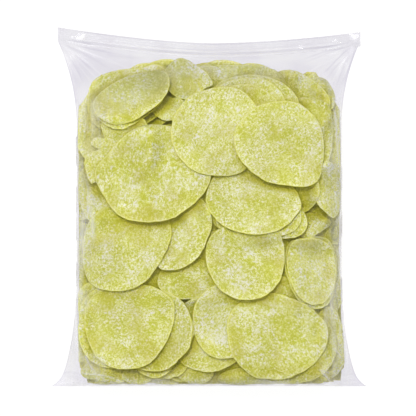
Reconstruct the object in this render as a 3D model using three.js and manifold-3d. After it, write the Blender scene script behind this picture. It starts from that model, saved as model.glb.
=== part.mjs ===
// A clear press-to-close bag, full of round raw sago papads, lying on its back.
// Millimetres. X runs across the bag, Y from its bottom edge to its mouth, and Z up.
// The origin is on the floor, under the middle of the whole.
import * as THREE from 'three';
import { mergeVertices } from 'three/addons/utils/BufferGeometryUtils.js';
import Module from 'manifold-3d';

const wasm = await Module();
wasm.setup();

// The bag as a whole
const LENGTH = 290;        // bottom edge to the highest corner of the mouth
const EAR_SPAN = 254;      // flat width, from tip to tip of the two bottom ears
const MOUTH_SPAN = 245;    // along the zip
const BODY_SPAN = 213.6;   // where the papads fill it
const FILM_SKIN = 1.2;     // the two layers of film where nothing is between them
const CREASE_Z = 31;       // height of the side creases
const CREASE_DROP_FROM = 80; // where the creases start down towards the zip
const CREASE_DROP_TO = 130;

// How the outline flares from the body to the mouth and to the ears
const MOUTH_FLARE_FROM = 65;
const MOUTH_FLARE_TO = 134;
const MOUTH_FLARE_POWER = 2;
const EAR_FLARE_FROM = -52;
const EAR_FLARE = 13.5;
const EAR_FLARE_POWER = 2.3;
const EAR_TIP = (EAR_SPAN - BODY_SPAN) / 2 - EAR_FLARE;
const EAR_TIP_POWER = 20;

// The mouth sags in its middle, and its left corner stands higher
const MOUTH_SAG = 11;
const MOUTH_SAG_POWER = 1.55;
const MOUTH_SLANT = 1.95;

// The zip along the mouth
const ZIP_BAND = 11.5;     // from the edge of the mouth to the zip's lower edge
const ZIP_Z = 25;
const ZIP_BASE = 1.0;
const ZIP_STATIONS = 26;
const FIT_GAP = 0.3;

// The papads' heap inside
const HEAP_SPAN = 211;
const HEAP_HEEL = 3;       // how much wider it is at the bottom, on each side
const HEAP_BOTTOM_GAP = 2;
const HEAP_TOP = 114;
const HEAP_SHOULDER_DROP = 26;
const HEAP_SHOULDER_POWER = 4;
const HEAP_DEPTH = 68;     // to its flat; the layers of papads on it add the rest of the 72
const SIDE_POWER = 3.4;    // how square its sides are: with this, 508 mm of film goes round it
const END_POWER = 2.5;     // how square its two ends are
const FRONT_ROUND = { side: 1, bottom: 26, top: 54 };
const BACK_ROUND = { side: 0.62, bottom: 16, top: 40 };
const BACK_FLATTEN = 1.14; // above 1, so that the back lies flat on the floor

// The mesh
const COLUMNS = 36;
const ROWS = 40;
const EDGE_CROWDING = 0.55;
const RELAX_ROUNDS = 500;
const JUST_INSIDE = 0.9999; // the furthest across the film that its height is asked for
const MERGE_DISTANCE = 1e-4;

// Each papad that shows on the front: its middle x and y, its half length and half width as seen
// from above, its turn in degrees, and how many layers up it lies
const PAPADS = [
  { at: [24, 83], half: [31, 29], turn: 0, level: 0.8 },
  { at: [63, 79], half: [30, 30], turn: 0, level: 0.8 },
  { at: [78, 73], half: [24, 29], turn: 10, level: 0.5 },
  { at: [-66, 84], half: [31, 28], turn: 20, level: 1.4 },
  { at: [-85, 62], half: [17, 27], turn: 0, level: 0.8 },
  { at: [42, 69], half: [35, 34], turn: 0, level: 1.2 },
  { at: [28, 72], half: [35, 32], turn: 0, level: 1.9 },
  { at: [27, 64], half: [33, 33], turn: 0, level: 2.6 },
  { at: [-20, 100], half: [26, 18], turn: -15, level: 2.3 },
  { at: [-61, 86], half: [35, 20], turn: 28, level: 3.2 },
  { at: [74, 58], half: [24, 29], turn: 0, level: 1.8 },
  { at: [92, 21], half: [13, 30], turn: 5, level: 0.9 },
  { at: [69, 3], half: [31, 30], turn: 0, level: 0.9 },
  { at: [57, 18], half: [30, 29], turn: 0, level: 1.6 },
  { at: [39, 7], half: [38, 32], turn: 0, level: 2.0 },
  { at: [35, 11], half: [38, 34], turn: 0, level: 2.8 },
  { at: [4, 59], half: [35, 35], turn: 0, level: 3.4 },
  { at: [56, 50], half: [39, 34], turn: -43, level: 4.0 },
  { at: [-74, 13], half: [30, 31], turn: 0, level: 1.4 },
  { at: [-65, 34], half: [34, 34], turn: 0, level: 2.3 },
  { at: [-40, 26], half: [42, 39], turn: 0, level: 3.2 },
  { at: [-15, -34], half: [31, 24], turn: -8, level: 1.8 },
  { at: [-13, -44], half: [33, 28], turn: 0, level: 1.6 },
  { at: [-27, -19], half: [30, 31], turn: 0, level: 2.4 },
  { at: [-65, -32], half: [36, 35], turn: 0, level: 3.2 },
  { at: [81, -52], half: [22, 30], turn: 6, level: 1.5 },
  { at: [29, -40], half: [33, 34], turn: 0, level: 2.6 },
  { at: [1, -100], half: [31, 31], turn: 0, level: 0.9 },
  { at: [18, -88], half: [31, 31], turn: 0, level: 1.5 },
  { at: [54, -103], half: [40, 35], turn: -5, level: 2.9 },
  { at: [-40, -103], half: [32, 32], turn: 0, level: 1.0 },
  { at: [-46, -97], half: [33, 33], turn: 0, level: 1.9 },
  { at: [-62, -91], half: [36, 37], turn: 0, level: 2.9 },
];
const PAPAD_SIDES = 26;
const PAPAD_RINGS = [0.55, 1];
const PAPAD_STEP = 0.9;    // height of one layer
const PAPAD_SLANT = 1.0;   // a lower edge lies over the next papad, and an upper edge under the last
const PAPAD_ROOT = 5;      // how deep a papad reaches into the heap
const PAPAD_LOWEST_Z = 37; // a papad's rim stays above the side creases

const clamp01 = (t) => Math.min(1, Math.max(0, t));
const bottomY = -LENGTH / 2;
const mouthMiddleY = LENGTH / 2 - MOUTH_SAG - MOUTH_SLANT;

// Half the width of the film's outline at a distance along the bag
function halfWidth(y) {
  const mouth = clamp01((y - MOUTH_FLARE_FROM) / (MOUTH_FLARE_TO - MOUTH_FLARE_FROM));
  const ear = clamp01((EAR_FLARE_FROM - y) / (EAR_FLARE_FROM - bottomY));
  return BODY_SPAN / 2
    + (MOUTH_SPAN - BODY_SPAN) / 2 * mouth ** MOUTH_FLARE_POWER
    + EAR_FLARE * ear ** EAR_FLARE_POWER
    + EAR_TIP * ear ** EAR_TIP_POWER;
}

// The sagging edge of the mouth
function mouthY(x) {
  const share = 2 * x / MOUTH_SPAN;
  return mouthMiddleY + MOUTH_SAG * Math.abs(share) ** MOUTH_SAG_POWER - MOUTH_SLANT * share;
}

// Height of the line where front and back film meet
function creaseZ(y) {
  const { lerp, smoothstep } = THREE.MathUtils;
  return lerp(CREASE_Z, ZIP_Z, smoothstep(y, CREASE_DROP_FROM, CREASE_DROP_TO));
}

// How full the bag is at a point, from 0 at the heap's edge to 1 on its flat
function fullness(x, y, round) {
  const heel = clamp01((EAR_FLARE_FROM - y) / (EAR_FLARE_FROM - bottomY));
  const side = Math.abs(x) / (HEAP_SPAN / 2 + HEAP_HEEL * heel);
  const shoulder = (2 * Math.abs(x) / HEAP_SPAN) ** HEAP_SHOULDER_POWER;
  const topY = HEAP_TOP - HEAP_SHOULDER_DROP * shoulder;
  const edge = (t, power) => (1 - clamp01(t) ** power) ** (1 / power);
  return edge(1 - (1 - side) / round.side, SIDE_POWER)
    * edge(1 - (y - bottomY - HEAP_BOTTOM_GAP) / round.bottom, END_POWER)
    * edge(1 - (topY - y) / round.top, END_POWER);
}

function heapFront(x, y) {
  return THREE.MathUtils.lerp(creaseZ(y), HEAP_DEPTH, fullness(x, y, FRONT_ROUND));
}

function heapBack(x, y) {
  return creaseZ(y) * (1 - clamp01(BACK_FLATTEN * fullness(x, y, BACK_ROUND)));
}

// Grid lines from -1 to 1, closer together near both ends
function crowdedLines(count) {
  return Array.from({ length: count + 1 }, (_, i) => {
    const t = 2 * i / count - 1;
    return t * (1 - EDGE_CROWDING) + Math.sin(t * Math.PI / 2) * EDGE_CROWDING;
  });
}
const columnLines = crowdedLines(COLUMNS);
const rowLines = crowdedLines(ROWS);

// Where the film ends just under the zip, at a share of the way across
function filmTopY(u) {
  const under = (x) => mouthY(x) - ZIP_BAND - FIT_GAP;
  return under(u * halfWidth(under(u * MOUTH_SPAN / 2)));
}

const grid = rowLines.map((v) => columnLines.map((u) => {
  const y = THREE.MathUtils.lerp(bottomY, filmTopY(u), (v + 1) / 2);
  return { x: u * halfWidth(y), y };
}));

// Film pulled tight over the heap: each point settles at the mean of its neighbours, held off by
// the heap below it, with its rim at the crease
function stretchedFilm(heapZ, rimOffset, holdOff) {
  const height = grid.map((row) => row.map(({ x, y }) => heapZ(x, y)));
  const isRim = (r, c) => r === 0 || c === 0 || r === ROWS || c === COLUMNS;
  grid.forEach((row, r) => row.forEach(({ y }, c) => {
    if (isRim(r, c)) height[r][c] = creaseZ(y) + rimOffset;
  }));
  for (let round = 0; round < RELAX_ROUNDS; round += 1) {
    for (let r = 1; r < ROWS; r += 1) {
      for (let c = 1; c < COLUMNS; c += 1) {
        const here = grid[r][c];
        let sum = 0;
        let weights = 0;
        for (const [nr, nc] of [[r - 1, c], [r + 1, c], [r, c - 1], [r, c + 1]]) {
          const weight = 1 / Math.hypot(grid[nr][nc].x - here.x, grid[nr][nc].y - here.y) ** 2;
          sum += weight * height[nr][nc];
          weights += weight;
        }
        height[r][c] = holdOff(sum / weights, heapZ(here.x, here.y));
      }
    }
  }
  return height;
}
const frontFilm = stretchedFilm(heapFront, FILM_SKIN / 2, Math.max);
const backFilm = stretchedFilm(heapBack, -FILM_SKIN / 2, Math.min);

// Height of the front film over any point of it
function frontZ(x, y) {
  const { clamp, lerp } = THREE.MathUtils;
  const u = clamp(x / halfWidth(y), -JUST_INSIDE, JUST_INSIDE);
  const share = (y - bottomY) / (filmTopY(u) - bottomY);
  const v = clamp(2 * share - 1, -JUST_INSIDE, JUST_INSIDE);
  const c = columnLines.findIndex((line) => line > u) - 1;
  const r = rowLines.findIndex((line) => line > v) - 1;
  const du = (u - columnLines[c]) / (columnLines[c + 1] - columnLines[c]);
  const dv = (v - rowLines[r]) / (rowLines[r + 1] - rowLines[r]);
  return lerp(lerp(frontFilm[r][c], frontFilm[r][c + 1], du),
    lerp(frontFilm[r + 1][c], frontFilm[r + 1][c + 1], du), dv);
}

function solidFrom(points, triangles) {
  const geometry = new THREE.BufferGeometry();
  geometry.setAttribute('position', new THREE.Float32BufferAttribute(points, 3));
  geometry.setIndex(triangles);
  const merged = mergeVertices(geometry, MERGE_DISTANCE);
  return new wasm.Manifold(new wasm.Mesh({
    numProp: 3,
    vertProperties: merged.attributes.position.array,
    triVerts: new Uint32Array(merged.index.array),
  }));
}

function geometryFrom(solid) {
  const { vertProperties, triVerts } = solid.getMesh();
  const geometry = new THREE.BufferGeometry();
  geometry.setAttribute('position', new THREE.BufferAttribute(vertProperties, 3));
  geometry.setIndex(new THREE.BufferAttribute(triVerts, 1));
  geometry.computeVertexNormals();
  return geometry;
}

// The film's front and back, joined round the rim
function filmSolid() {
  const points = [];
  for (const height of [frontFilm, backFilm]) {
    grid.forEach((row, r) => row.forEach(({ x, y }, c) => points.push(x, y, height[r][c])));
  }
  const width = COLUMNS + 1;
  const layer = width * (ROWS + 1);
  const triangles = [];
  for (let r = 0; r < ROWS; r += 1) {
    for (let c = 0; c < COLUMNS; c += 1) {
      const a = r * width + c;
      const quad = [a, a + 1, a + width + 1, a + width];
      triangles.push(quad[0], quad[1], quad[2], quad[0], quad[2], quad[3]);
      const [p, q, s, t] = quad.map((i) => i + layer);
      triangles.push(p, s, q, p, t, s);
    }
  }
  const rim = [];
  for (let c = 0; c < COLUMNS; c += 1) rim.push(c);
  for (let r = 0; r < ROWS; r += 1) rim.push(r * width + COLUMNS);
  for (let c = COLUMNS; c > 0; c -= 1) rim.push(ROWS * width + c);
  for (let r = ROWS; r > 0; r -= 1) rim.push(r * width);
  rim.forEach((a, i) => {
    const b = rim[(i + 1) % rim.length];
    triangles.push(a, a + layer, b + layer, a, b + layer, b);
  });
  return solidFrom(points, triangles);
}

// One papad of the front layers: a thin round that follows the film under it
function papadSolid({ at: [cx, cy], half: [length, width], turn, level }) {
  const angle = THREE.MathUtils.degToRad(turn);
  const top = [];
  const place = (reach, around) => {
    const a = reach * length * Math.cos(around);
    const b = reach * width * Math.sin(around);
    const x = cx + a * Math.cos(angle) - b * Math.sin(angle);
    const y = cy + a * Math.sin(angle) + b * Math.cos(angle);
    const lift = level * PAPAD_STEP - PAPAD_SLANT * (y - cy) / width;
    top.push([x, y, Math.max(frontZ(x, y) + lift, PAPAD_LOWEST_Z)]);
  };
  place(0, 0);
  for (const ring of PAPAD_RINGS) {
    for (let i = 0; i < PAPAD_SIDES; i += 1) place(ring, 2 * Math.PI * i / PAPAD_SIDES);
  }
  const under = top.map(([x, y, z]) => [x, y, z - PAPAD_ROOT]);
  const count = top.length;
  const triangles = [];
  const ringAt = (ring, i) => 1 + ring * PAPAD_SIDES + i % PAPAD_SIDES;
  for (let i = 0; i < PAPAD_SIDES; i += 1) {
    const [a, b] = [ringAt(0, i), ringAt(0, i + 1)];
    const [c, d] = [ringAt(1, i), ringAt(1, i + 1)];
    for (const [p, q, s] of [[0, a, b], [a, c, d], [a, d, b]]) {
      triangles.push(p, q, s, p + count, s + count, q + count);
    }
    triangles.push(c, c + count, d + count, c, d + count, d);
  }
  return solidFrom([...top, ...under].flat(), triangles);
}

function bag() {
  const whole = PAPADS.reduce((sum, papad) => sum.add(papadSolid(papad)), filmSolid());
  const mesh = new THREE.Mesh(geometryFrom(whole), new THREE.MeshStandardMaterial({
    color: 0xc9cc74, roughness: 0.55, metalness: 0,
  }));
  mesh.name = 'bag';
  return mesh;
}

// The zip's section: distance down from the edge of the mouth, and half its thickness there
const ZIP_PROFILE = [
  [0, 0.35], [2.2, 0.35], [2.8, 0.9], [3.8, 0.4], [5.0, 0.4], [5.6, 1.0], [6.6, 0.4],
  [7.8, 0.5], [8.2, 1.2], [9.2, 1.2], [9.6, 0.5], [ZIP_BAND, ZIP_BASE / 2],
];

// The press-to-close zip, a ribbed strip that follows the sagging mouth
function zipStrip() {
  const section = [
    ...ZIP_PROFILE.map(([down, z]) => [-down, z]),
    ...ZIP_PROFILE.map(([down, z]) => [-down, -z]).reverse(),
  ];
  const points = [];
  const stations = Array.from({ length: ZIP_STATIONS + 1 }, (_, i) => {
    return MOUTH_SPAN * (i / ZIP_STATIONS - 0.5);
  });
  for (const x of stations) {
    for (const [dy, dz] of section) points.push(x, mouthY(x) + dy, ZIP_Z + dz);
  }
  const n = section.length;
  const triangles = [];
  for (let s = 0; s < ZIP_STATIONS; s += 1) {
    for (let i = 0; i < n; i += 1) {
      const a = s * n + i;
      const b = s * n + (i + 1) % n;
      triangles.push(a, b, b + n, a, b + n, a + n);
    }
  }
  const outline = section.map(([y, z]) => new THREE.Vector2(y, z));
  for (const [a, b, c] of THREE.ShapeUtils.triangulateShape(outline, [])) {
    const last = ZIP_STATIONS * n;
    triangles.push(a, c, b, last + a, last + b, last + c);
  }
  const geometry = geometryFrom(solidFrom(points, triangles));
  const mesh = new THREE.Mesh(geometry, new THREE.MeshStandardMaterial({
    color: 0xe9e7f0, roughness: 0.3, metalness: 0,
  }));
  mesh.name = 'zip_strip';
  return mesh;
}

const group = new THREE.Group();
group.add(bag(), zipStrip());
export default group;
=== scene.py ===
"""A clear press-to-close bag, stuffed with round raw sago papads, lying on its back.

Shapes are worked out in millimetres: X across the bag, Y from its bottom edge to its mouth, Z up.
Meshes are made in metres.
"""

import math

import bpy
import numpy as np
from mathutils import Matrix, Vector


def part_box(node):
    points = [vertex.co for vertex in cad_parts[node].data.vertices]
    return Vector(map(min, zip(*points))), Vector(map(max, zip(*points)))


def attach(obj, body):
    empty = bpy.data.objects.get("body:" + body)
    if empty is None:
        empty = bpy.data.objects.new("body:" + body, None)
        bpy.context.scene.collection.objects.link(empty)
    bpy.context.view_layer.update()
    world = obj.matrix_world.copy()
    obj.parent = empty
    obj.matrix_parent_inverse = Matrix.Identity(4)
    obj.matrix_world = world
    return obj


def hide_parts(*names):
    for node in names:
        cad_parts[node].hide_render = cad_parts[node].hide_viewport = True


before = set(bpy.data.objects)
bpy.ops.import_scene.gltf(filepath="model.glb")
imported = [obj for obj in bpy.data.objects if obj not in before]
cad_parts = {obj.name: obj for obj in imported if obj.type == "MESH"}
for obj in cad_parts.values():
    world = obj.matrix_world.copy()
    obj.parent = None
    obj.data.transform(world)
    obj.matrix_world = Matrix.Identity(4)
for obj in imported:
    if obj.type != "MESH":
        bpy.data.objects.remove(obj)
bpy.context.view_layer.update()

MM = 0.001
SEED = 11

# ---------------- sizes, from the frame
bag_low, bag_high = (np.array(corner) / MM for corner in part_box("bag"))
zip_low, zip_high = (np.array(corner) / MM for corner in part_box("zip_strip"))
LENGTH = zip_high[1] - bag_low[1]
EAR_SPAN = bag_high[0] - bag_low[0]
MOUTH_SPAN = zip_high[0] - zip_low[0]
ZIP_Z = (zip_low[2] + zip_high[2]) / 2
BOTTOM_Y = bag_low[1]

# The outline of the film, as the CAD has it
BODY_SPAN = 213.6
CREASE_Z = 31
CREASE_DROP = (80, 130)
MOUTH_FLARE = (65, 134)
MOUTH_FLARE_POWER = 2
EAR_FLARE_FROM = -52
EAR_FLARE = 13.5
EAR_FLARE_POWER = 2.3
EAR_TIP = (EAR_SPAN - BODY_SPAN) / 2 - EAR_FLARE
EAR_TIP_POWER = 20
MOUTH_SAG = 11
MOUTH_SAG_POWER = 1.55
MOUTH_SLANT = 1.95
ZIP_BAND = 11.5

# The heap of papads
HEAP_SPAN = 211
HEAP_HEEL = 3
HEAP_BOTTOM_GAP = 2
HEAP_TOP = 114
HEAP_SHOULDER_DROP = 26
HEAP_SHOULDER_POWER = 4
HEAP_DEPTH = 68
SIDE_POWER = 3.4
END_POWER = 2.5
FRONT_ROUND = {"side": 1, "bottom": 26, "top": 54}
BACK_ROUND = {"side": 0.62, "bottom": 16, "top": 40}
BACK_FLATTEN = 1.14

PAPAD_THICK = 0.9
FRONT_GAP = 0.25  # between papads, in the front and inside
INSIDE_GAP = 1.0
CELL = 1.5  # of the grid that the heap is laid on
FLOOR_CLEAR = 0.5
ANGLES = 80  # of a front papad's outline

# The camera, which also turns pixels of the photograph into places on the bag
PHOTO_SIDE = 416
MM_PER_PIXEL = 0.804  # at MIDDLE_Z
VIEW_MIDDLE = (-0.9, -1.3)
VIEW_DISTANCE = 1500
MIDDLE_Z = 36

# Outlines of the papads that show, in pixels of the photograph, lowest first, each up to a
# semicolon. After a bar: the direction in degrees of the side that curls up, and by how much
FRONT = """
# right side, seen nearly edge on
330,100 336,108 339,125 340,150 339,180 337,210 331,219 324,212 318,203 317,185 320,150 324,120;
318,316 326,306 334,308 341,320 343,335 346,350 347,359 345,367 340,375 330,381 316,384
304,380 300,360 304,335;
# along the mouth
311,76 317,76 322,75.5 328,78 332,84 335,91 336,99 333,108 322,114 305,110 300,95 303,82;
278,69 284,67 291,66.5 298,68 303,70.5 309,75 318,82 326,90 331,99 328,115 310,128 285,130
268,118 262,100 266,82;
196,66 205,64 216,64 222,62.5 229,62 236,63 246,63 256,62.5 264,63 271,65 278,68.5 284,74
288,82 284,92 270,99 245,100 220,97 203,90 195,78;
76,112 78,106 84,98 89,88 96,84 104,90 110,110 108,140 98,160 86,160 79,150 76,130;
87,92 89,83 92,78 98,74 105,71 113,68.5 123,66.5 134,66 143,65 148,62.5 152,61 157,61.5
162,64 168,70 170,84 166,104 150,122 128,132 106,132 92,122 87,108;
# bottom strip
78,376 84,366 100,358 118,362 128,372 126,381 112,384 95,384.5 82,383;
121,377 130,366 146,364 156,370 152,379 146,384 136,384.5 127,383;
177,373 184,366 200,364 212,368 214,376 208,382 196,384 185,382 178,378;
215,382 222,372 240,368 262,370 280,374 300,371 318,374 332,380 325,384 305,385.5 285,385
262,382 240,385 225,385;
148,372 156,362 172,358 188,366 183,373 174,377 164,379 154,380;
# left column
76,192 77,180 82,168 92,160 106,160 116,172 118,192 112,210 100,220 89,222 82,210 77,200;
76,300 80,289 90,282 106,282 116,294 116,312 106,322 92,324 80,316 76,308;
# upper right
299,97 304,95.5 310,97.5 317,98 323,99.5 328,103 332,112 333,125 333,140 331,155 326,166
316,172 302,170 290,158 286,135 290,112;
214,86 221,79.5 230,76 240,73.5 252,72.5 264,74 275,77 285,82 293,89 298,97 301,106 300,122
290,140 268,150 240,146 220,130 211,106 | 60 3;
215,88 222,83 231,79 241,77 252,76 262,77 271,81 279,88 284,95 287,104 285,122 272,140
250,146 228,138 214,118 210,100 | 55 2;
205,122 208,104 216,92 227,86 239,83.5 250,83.5 260,86.5 268,91 275,97 280,106 283,120
278,142 262,158 240,160 218,150 | 60 3;
165,67 170,60 175,56 181,54.5 187,57 193,61.5 199,66 205,70.5 210,77 214,84.5 206,88
200,93 193,98 186,100.5 178,98.5 171,94 166,87 163,76 | 255 2;
150,93 160,93 172,98 184,101.5 196,99 200,106 190,116 172,120 156,116 148,104 | 80 3;
# left, under the big one
84.5,165 85,154 89,145 95,137 100,128 104,118 118,110 134,108 147,113 143,119 131,125.5
121,130 113,135 108,141 105,150 108,165 110,180 107,190 102,193 95,188 89,181 86,173 | 20 5;
# right of the middle
316,203 317,187 318,170 326,160 334,164 339,180 340,200 337,216 332,219 325,212;
296,238 290,225 296,214 306,212 316,214 325,217 333,222 330,226.5 324,229.5 317,233.5
310,238 303,240 | 320 1.5;
319.5,196 316,203 310,209 303,214 292,222 272,224 255,214 246,196 248,176 262,162 284,158
304,164 316,176 320,187 | 300 2;
212,216 213.5,224 220,230 228,234.5 236,237 244,238.5 254,239 264,239 274,238.5 284,238.5
293,238 300,236 305,232 308,226 307,219 302,208 290,190 262,178 232,182 214,198 | 270 4.5;
215,220 217,227 224,231.5 232,235 244,237 258,237.5 272,236.5 284,235 296,230 302,220
298,200 280,186 250,180 226,190;
# middle and lower rows
290,241 286,250 284.5,262 286,273 289,282 293,292 300,302 312,309 324,308 332,300 336,286
338,270 337,256 333,245 328,238 318,236.5 304,238;
292,241 288,252 287,264 289,276 293,287 300,298 312,305 324,303 332,294 336,280 336,262
331,246 320,239 306,238;
172,270 178,256 192,247 206,249 218,256 224,266 220,275 212,279.5 202,279.5 190,277 180,273.5
| 262 2;
157,281 160,271 170,263 186,258 202,260 216,266 226,274 231,284 228,290 220,294.5 210,297
198,297.5 187,299 178,299 170,296.5 162,292 158,287 | 270 5;
177,358 172,340 174,318 186,302 206,296 228,300 242,314 247,334 241,358 229,366.5 220,371
210,372.5 200,371 191,369 184,366;
192.5,318 196,302 206,290 222,283 242,283 258,292 268,308 270,326 262,344 248,354 232,357.5
216,358 209,355 203,349.5 198,343 194,334;
268,378 258,362 258,335 272,312 296,306 318,314 334,330 338,350 330,368 318,378 302,383.5
284,384;
127,358 120,340 124,316 138,302 156,297 174,298 184,303 188.5,310 191,318 194,327 193,337
191,343 188,350 184,354.5 178,360 173,366 168,373 158,378.5 146,377 135,369 | 300 1;
108,348 106,322 118,302 138,292 160,290 176,296 184,303 188,310 191,318 193,328 192,337
188.5,350 184,354 178,359.5 173,365 167,369 160,371 150,371 138,369.5 120,362 | 300 1.5;
79,345 78,325 80,305 90,292 106,286 130,286 150,296 160,312 160,335 148,352 130,364 106,368
90,362;
83,318 85,305 94,294 110,288 130,286 150,286 162,291 170,297 174,303 175,311 174,319 172.5,327
169.5,335 166,343 161,350 156,357 151,362 144,366 136,368 126,369 116,368.5 108,366 100,361
94,355 90,348 87,339 84,329 | 320 2.5;
227,331 227.5,322 230,314 235,307 241,301.5 250,297 262,294 271,293 280,294 288,297 296,300
304,303 312,308 318,314 322,318 326,323 328.5,330 329,338 327,346 323,353 319,359 313,365
306,370 297,374 288,378 280,379.5 270,379 262,378.5 254,377 248,373 242,368 237,362 233,357
230,350 228.5,342 | 290 2;
205.5,257 206,246 210,237 218,229 230,224 250,221 268,224 279,232 284,244 285,255 284,266
282,276 277,285 271,291 262,297 253,299.5 243,299.5 233,297.5 225,293 217,286 211,276 207,266
| 300 3;
206,203 206,194 209,184 215,175 225,166 240,160 256,160 272,166 285,177 294,187 298,194
301,201 301.5,208 299,212.5 295.5,213.5 295,217.5 291,222 285,226 276,231 266,233.5
255,234.5 243,233 233,230.5 225,227 218,222 212,215 208,209 | 260 2;
160,270 155,262 155,245 160,225 172,208 188,199 200,197 207,204 211,213 212.5,222 210.5,231
207,240 203,249 198,257 191,262.5 184,267 176,269.5 168,270 | 310 3;
81,252 82,242 84,231 88,222 94,215 101,210 112,204 128,202 146,204 160,210 169,219 172,229
171,238 168,247 164,256 159,264 154,271 149,278 142,284 133,288.5 122,291 110,291 99,289.5
91,286 86,280 83,270 | 320 2.5;
94,173 96,166 101,161 108,154 113,147 119,141 125,135 133,129.5 145,125.5 156,124 167,125
180,129 194,138 205,152 211,166 211.5,177 208,187 203,194 197,201 190,207 183,212 175,217.5
165,220.5 152,222 140,222 130,220 120,216.5 113,210 108,203 104,196 100,190 96,182 | 280 4;
92,112 97,104 104,97 114,89 126,83 138,78 148,78 158,84 163,92 164,100 157,108 149,114.5
141,120 132,126 121,130 110,128 100,121;
91.5,103 94,98 99,92 105,87 112,82 120,77 130,73 140,70 150,67.5 158,67 164,69 168,73 170,80
169.5,88 167,95 162,102 155,108 147,113.5 140,119 131,123 122,125 112,124.5 104,121.5 97,116
93,110 | 305 6;
171,127 172.5,119 177,111 183,102 190,95.5 200,91 211,88 222,86 231,86 239,88.5 246,93.5
252,100 257,107 260,118 261,130 259,145 254,158 247,168.5 240,173 230,175.5 218,176 207,175
198,172.5 190,168.5 184,163 178,156 173.5,147 171,138 | 40 5;
233.5,139 234,132 237,126 241,119 247,113 254,108 262,104.5 272,102 283,100.5 292,101 300,103
305,107 311,112.5 317,118.5 321,127 323.5,136 324.5,146 324,156 322,167 320.5,177 316,183
308,186.5 300,187 290,186 281,184.5 272,183.5 264,180.5 256,175 248,169 241,161 236,153
234.5,146 | 245 6;
"""
# Where the heap is hollow under them: x, y, radius and depth, in millimetres
HOLLOWS = ((-40, 74, 17, 11), (16, 100, 16, 4), (15, -75, 16, 5))

FRONT_MESH = {"top": 11, "under": 5}
FRONT_TILT = 3  # how far a front papad's lower rim stands up, and its upper rim down, in mm
FRONT_LAYER = 3.8  # the room that each front papad is kept, in mm
SINK = {"front": 0.14, "inside": 0.25}  # the share of a papad pressed onto what lies under it
WARP = {"front": 0.6, "inside": 1.0}  # how much a papad is bent at random, in mm
CURL_FROM = 0.3  # how far back from its middle a papad starts to curl up, as a share of its radius
RIM_ROUGH = 0.16  # how uneven a traced rim is, in mm
GRID_SIDE = 117  # how far the heap's grid reaches
GRID_TOP = 123
HEAP_RISE = 2.5  # how far the front papads stand over the CAD's own flat
PAINTED_GAP_SHADE_REACH = 3  # cells from a rim that the painted gap shade reaches
PAINTED_GAP_SHADE_EVEN = 30  # rounds that even the heap out to its broad shape
PAINTED_GAP_SHADE_DEPTH = (1.7, 8.5)  # how far under the heap's top the painted gap shade starts and is whole, in mm
INSIDE_MESH = {"top": 4, "under": 2}
INSIDE_ANGLES = 36
INSIDE_RADII = ((33, 41), (21, 28))  # most of them, and smaller ones for the room that is left
FLATTEST = 0.94  # how far from round one may be
OUTLINE_WAVES = ((3, 0.012), (4, 0.008), (5, 0.008), (7, 0.004))  # how many round it, how high
INSIDE_MOST = 260
MISSES_MOST = 45
MISS_RADIUS = 7  # how far from a miss the next one is tried
LEAST_SHARE = 0.5  # how much of an inside papad the sides leave
ROOM_MOST = 12  # room beyond this is no better
ROOM_MISS = 12  # what a cell without room takes off
ROOM_CHANCE = 0.4  # how far the choice of a place is left to chance
ROOM_SHORT = 0.06  # the share of a papad that may be without room


def entries(text):
    """A traced list's entries: the points of each, and the numbers after its bar."""
    kept = " ".join(line for line in text.splitlines() if not line.startswith("#"))
    for entry in kept.split(";")[:-1]:
        points, _, rest = entry.partition("|")
        pairs = [[float(n) for n in pair.split(",")] for pair in points.split()]
        yield np.array(pairs), [float(n) for n in rest.split()]


def lerp(low, high, t):
    return low + (high - low) * t


def smoothstep(value, low, high):
    t = np.clip((value - low) / (high - low), 0, 1)
    return t * t * (3 - 2 * t)


def rounded(t, power):
    """A superellipse's quarter: 1 up to t = 0, and 0 at t = 1."""
    return (1 - np.clip(t, 0, 1) ** power) ** (1 / power)


def around_circle(count):
    return np.linspace(0, 2 * math.pi, count, endpoint=False)


def ear_share(y):
    """How far down towards the ears' tips a place is, from 0 to 1."""
    return np.clip((EAR_FLARE_FROM - y) / (EAR_FLARE_FROM - BOTTOM_Y), 0, 1)


def half_width(y):
    mouth = np.clip((y - MOUTH_FLARE[0]) / (MOUTH_FLARE[1] - MOUTH_FLARE[0]), 0, 1)
    ear = ear_share(y)
    return (
        BODY_SPAN / 2
        + (MOUTH_SPAN - BODY_SPAN) / 2 * mouth**MOUTH_FLARE_POWER
        + EAR_FLARE * ear**EAR_FLARE_POWER
        + EAR_TIP * ear**EAR_TIP_POWER
    )


def mouth_y(x):
    share = 2 * x / MOUTH_SPAN
    middle = LENGTH + BOTTOM_Y - MOUTH_SAG - MOUTH_SLANT
    return middle + MOUTH_SAG * np.abs(share) ** MOUTH_SAG_POWER - MOUTH_SLANT * share


def crease_z(y):
    return lerp(CREASE_Z, ZIP_Z, smoothstep(y, *CREASE_DROP))


def fullness(x, y, around):
    """How full the bag is at a point, from 0 at the heap's edge to 1 on its flat."""
    side = np.abs(x) / (HEAP_SPAN / 2 + HEAP_HEEL * ear_share(y))
    shoulder = (2 * np.abs(x) / HEAP_SPAN) ** HEAP_SHOULDER_POWER
    top_y = HEAP_TOP - HEAP_SHOULDER_DROP * shoulder
    return (
        rounded(1 - (1 - side) / around["side"], SIDE_POWER)
        * rounded(1 - (y - BOTTOM_Y - HEAP_BOTTOM_GAP) / around["bottom"], END_POWER)
        * rounded(1 - (top_y - y) / around["top"], END_POWER)
    )


def heap_front(x, y):
    return lerp(crease_z(y), HEAP_DEPTH, fullness(x, y, FRONT_ROUND))


def heap_back(x, y):
    return crease_z(y) * (1 - np.clip(BACK_FLATTEN * fullness(x, y, BACK_ROUND), 0, 1))


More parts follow.
